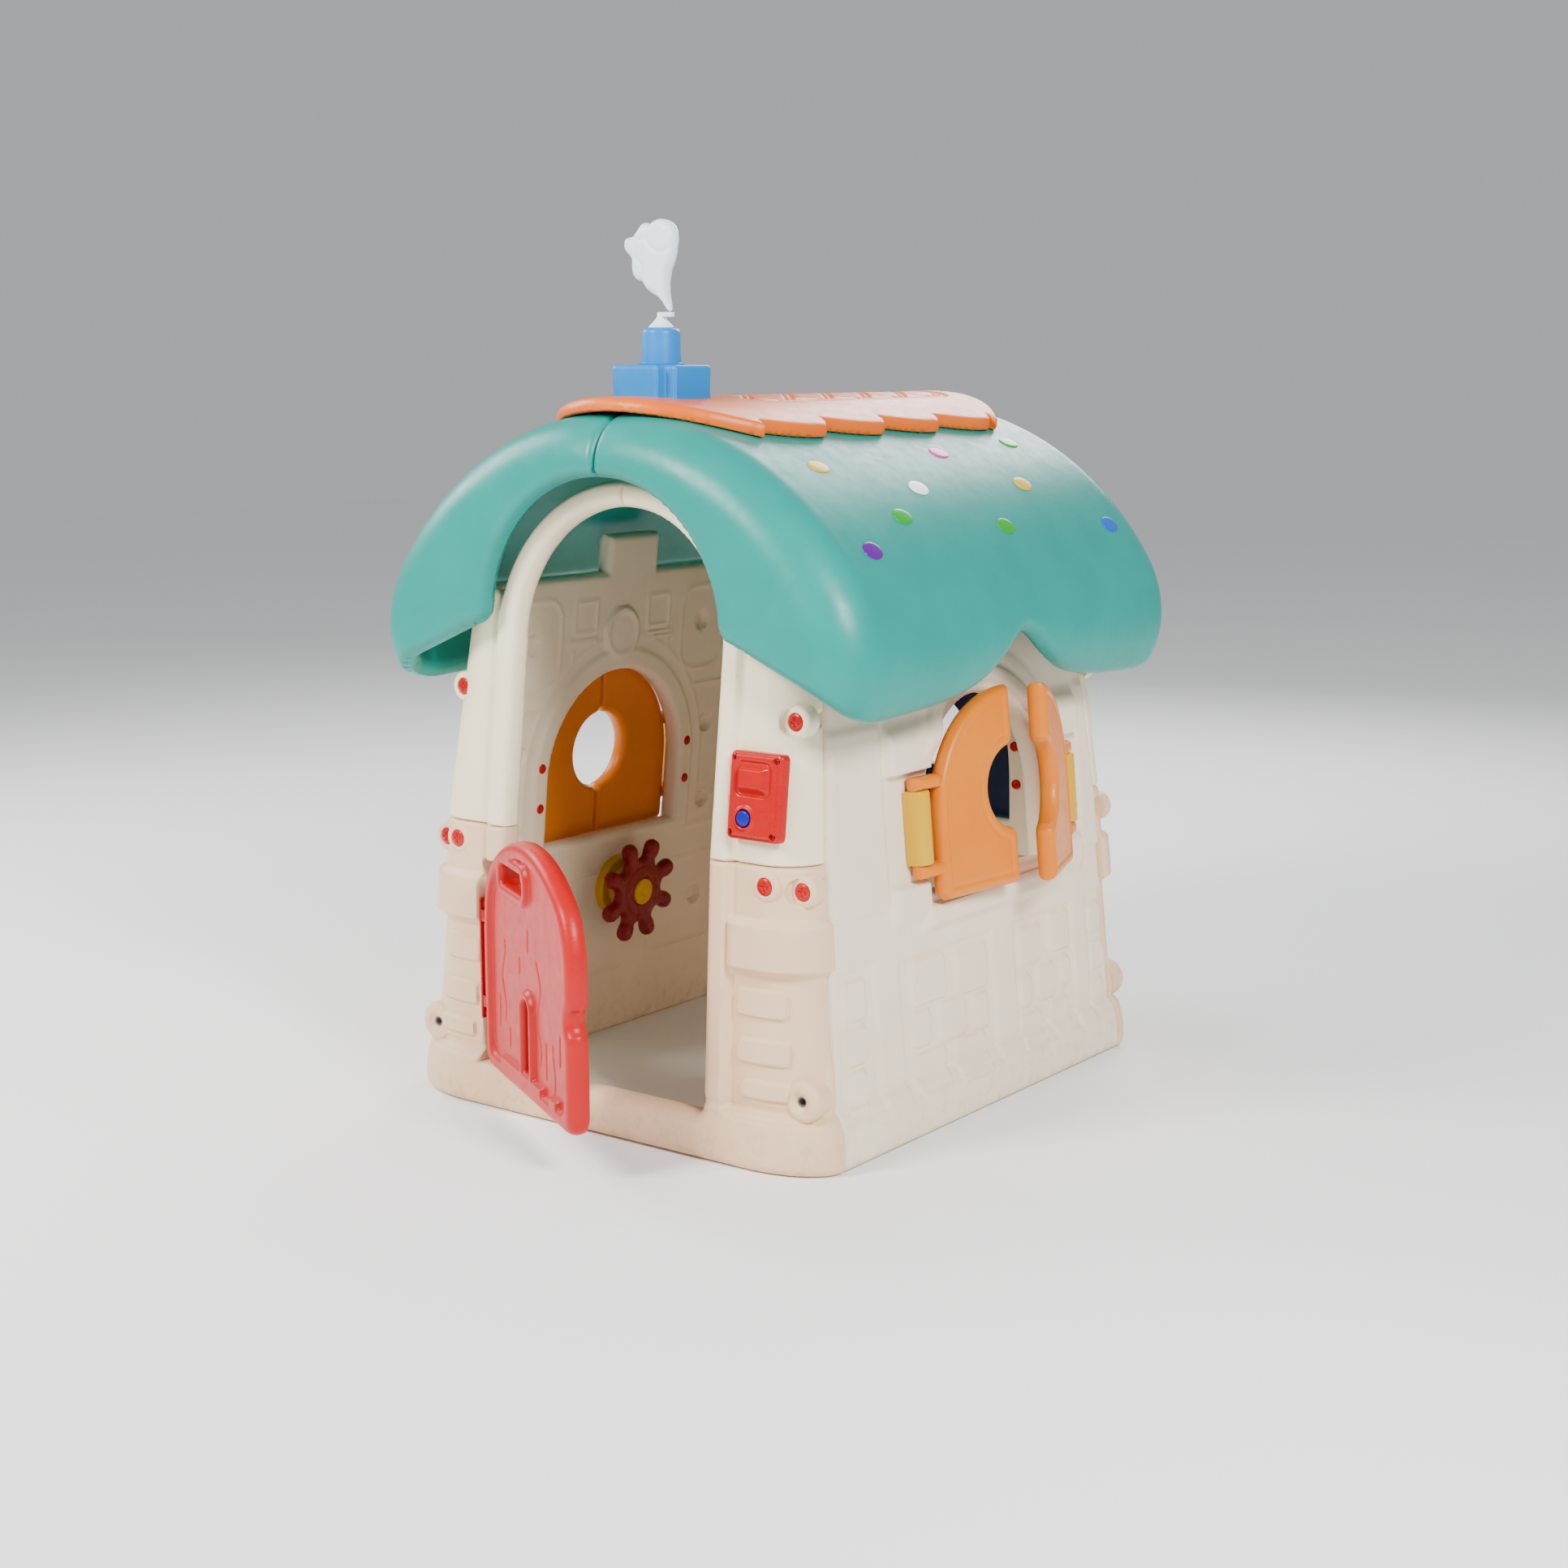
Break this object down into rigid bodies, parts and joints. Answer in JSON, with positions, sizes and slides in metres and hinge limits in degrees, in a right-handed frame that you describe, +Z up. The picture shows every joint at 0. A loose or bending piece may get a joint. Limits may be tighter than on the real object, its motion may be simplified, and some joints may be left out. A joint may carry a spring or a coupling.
{
  "type": "playhouse",
  "caption": "Moulded plastic children's playhouse with an arched doorway, half door, shuttered windows, puffy two-part roof, chimney, doorbell and steering wheel.",
  "frame": {"origin": "on the floor below the middle of the four walls", "axes": "+Z up, -Y is the doorway side, +X is the window side with the standing-open shutters, the ridge runs along Y"},
  "size_m": [1.0538, 1.3182, 1.5283],
  "materials": {
    "beige_hdpe": "satin moulded",
    "cream_hdpe": "satin moulded",
    "greige_hdpe": "satin moulded",
    "teal_hdpe": "semi-gloss moulded",
    "salmon_hdpe": "semi-gloss moulded",
    "blue_hdpe": "semi-gloss moulded",
    "white_pp": "semi-gloss moulded",
    "red_hdpe": "semi-gloss moulded",
    "red_pp": "gloss moulded",
    "dark_red_pp": "gloss moulded",
    "pin_steel": "bright",
    "orange_hdpe": "semi-gloss moulded",
    "navy_hdpe": "semi-gloss moulded",
    "yellow_pp": "gloss moulded",
    "button_blue": "gloss moulded",
    "dot_yellow": "gloss",
    "dot_pink": "gloss",
    "dot_white": "gloss",
    "dot_green": "gloss",
    "dot_purple": "gloss",
    "dot_blue": "gloss"
  },
  "bodies": {
    "house": {"front_lower_panel": "beige_hdpe", "front_arch_left": "cream_hdpe", "front_arch_right": "cream_hdpe", "right_wall": "greige_hdpe", "left_wall": "greige_hdpe", "back_lower_panel": "beige_hdpe", "back_upper_panel": "cream_hdpe", "roof_left": "teal_hdpe", "roof_right": "teal_hdpe", "ridge_cap": "salmon_hdpe", "chimney": "blue_hdpe", "smoke_socket": "white_pp", "smoke_plume": "white_pp", "door_hinge_bracket": "red_pp", "door_hinge_pin": "pin_steel", "door_hinge_screws": "red_pp", "shutter_hinge_clips": "yellow_pp", "shutter_hinge_pins": "pin_steel", "shutter_hinge_screws": "red_pp", "panel_screws": "red_pp", "wheel_base": "yellow_pp", "wheel_axle": "pin_steel", "bell_case": "red_pp", "bell_spring": "pin_steel", "bell_screws": "red_pp", "roof_dots_yellow": "dot_yellow", "roof_dots_pink": "dot_pink", "roof_dots_white": "dot_white", "roof_dots_green": "dot_green", "roof_dots_purple": "dot_purple", "roof_dots_blue": "dot_blue"},
    "door": {"door": "red_hdpe"},
    "right_front_shutter": {"right_front_shutter": "orange_hdpe"},
    "right_rear_shutter": {"right_rear_shutter": "orange_hdpe"},
    "left_rear_shutter": {"left_rear_shutter": "orange_hdpe"},
    "left_front_shutter": {"left_front_shutter": "orange_hdpe"},
    "back_right_shutter": {"back_right_shutter": "navy_hdpe"},
    "back_left_shutter": {"back_left_shutter": "navy_hdpe"},
    "wheel": {"steering_wheel": "dark_red_pp", "wheel_hub_cap": "yellow_pp"},
    "bell_button": {"bell_button": "button_blue"}
  },
  "joints": [
    {"name": "door_hinge", "type": "hinge", "parent": "house", "child": "door", "pos_m": [-0.26, -0.5135, 0.26], "axis": [0, 0, -1], "range_deg": [-30, 60]},
    {"name": "right_front_shutter_hinge", "type": "hinge", "parent": "house", "child": "right_front_shutter", "pos_m": [0.41967, -0.188, 0.52539], "axis": [0.0946, 0, -0.9955], "range_deg": [-8, 97]},
    {"name": "right_rear_shutter_hinge", "type": "hinge", "parent": "house", "child": "right_rear_shutter", "pos_m": [0.41967, 0.296, 0.52539], "axis": [-0.0946, 0, 0.9955], "range_deg": [-21, 84]},
    {"name": "left_rear_shutter_hinge", "type": "hinge", "parent": "house", "child": "left_rear_shutter", "pos_m": [-0.41967, 0.188, 0.52539], "axis": [-0.0946, 0, -0.9955], "range_deg": [0, 105]},
    {"name": "left_front_shutter_hinge", "type": "hinge", "parent": "house", "child": "left_front_shutter", "pos_m": [-0.41967, -0.296, 0.52539], "axis": [0.0946, 0, 0.9955], "range_deg": [0, 105]},
    {"name": "back_right_shutter_hinge", "type": "hinge", "parent": "house", "child": "back_right_shutter", "pos_m": [0.242, 0.52373, 0.52785], "axis": [0, 0.1074, -0.9942], "range_deg": [0, 105]},
    {"name": "back_left_shutter_hinge", "type": "hinge", "parent": "house", "child": "back_left_shutter", "pos_m": [-0.242, 0.52373, 0.52785], "axis": [0, -0.1074, 0.9942], "range_deg": [0, 105]},
    {"name": "wheel_spin", "type": "hinge", "parent": "house", "child": "wheel", "pos_m": [-0.32886, -0.03, 0.29176], "axis": [0.9955, 0, -0.0946], "continuous": true},
    {"name": "bell_button_press", "type": "slide", "parent": "house", "child": "bell_button", "axis": [0, 0.9942, -0.1074], "range_m": [0, 0.004], "stiffness_N_per_m": 600}
  ]
}
